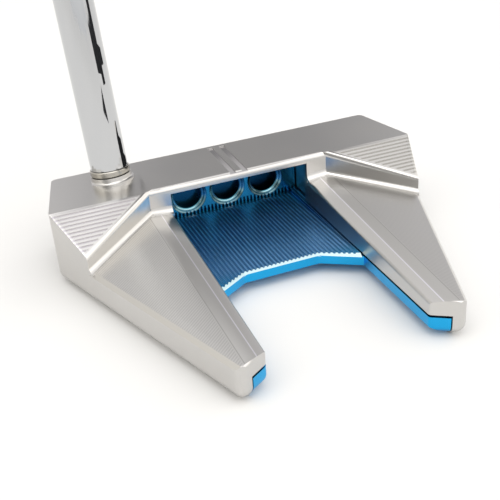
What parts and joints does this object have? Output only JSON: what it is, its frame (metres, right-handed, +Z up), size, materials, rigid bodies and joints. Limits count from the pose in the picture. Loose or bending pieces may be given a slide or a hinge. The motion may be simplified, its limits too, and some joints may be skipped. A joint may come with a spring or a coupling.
{
  "type": "mallet putter",
  "caption": "Mallet putter with two swept-back wings, a fluted aluminium flange and sole plate, sole weights, a single-bend shaft and a pistol grip.",
  "frame": {"origin": "on the flat of the sole, midway between heel and toe, on the line of the head's plane of symmetry", "axes": "+X from heel to toe, +Y towards the target, out of the striking face, +Z up when the sole is flat on the ground"},
  "size_m": [0.3588, 0.1068, 0.8214],
  "materials": {
    "head_steel": "fine-milled satin stainless steel",
    "flange_alloy": "bright blue anodised aluminium",
    "pad_rubber": "thin black damping sheet",
    "screw_steel": "dark passivated steel",
    "weight_steel": "turned stainless steel",
    "seal_rubber": "black moulded ring",
    "post_steel": "turned stainless steel",
    "adhesive": "cured epoxy",
    "shaft_chrome": "mirror chrome plate",
    "tape_cloth": "double-sided cloth tape",
    "grip_rubber": "black textured rubber",
    "cap_rubber": "smooth black rubber"
  },
  "bodies": {
    "root": {"head_body": "head_steel", "sole_flange": "flange_alloy", "damping_pad_heel": "pad_rubber", "damping_pad_toe": "pad_rubber", "sole_screw_front_heel": "screw_steel", "sole_screw_front_toe": "screw_steel", "sole_screw_rear_heel": "screw_steel", "sole_screw_rear_toe": "screw_steel", "sole_weight_heel": "weight_steel", "sole_weight_toe": "weight_steel", "weight_seal_heel": "seal_rubber", "weight_seal_toe": "seal_rubber", "hosel_post": "post_steel", "hosel_adhesive": "adhesive", "shaft": "shaft_chrome", "grip_tape": "tape_cloth", "grip": "grip_rubber", "grip_cap": "cap_rubber"}
  },
  "joints": []
}
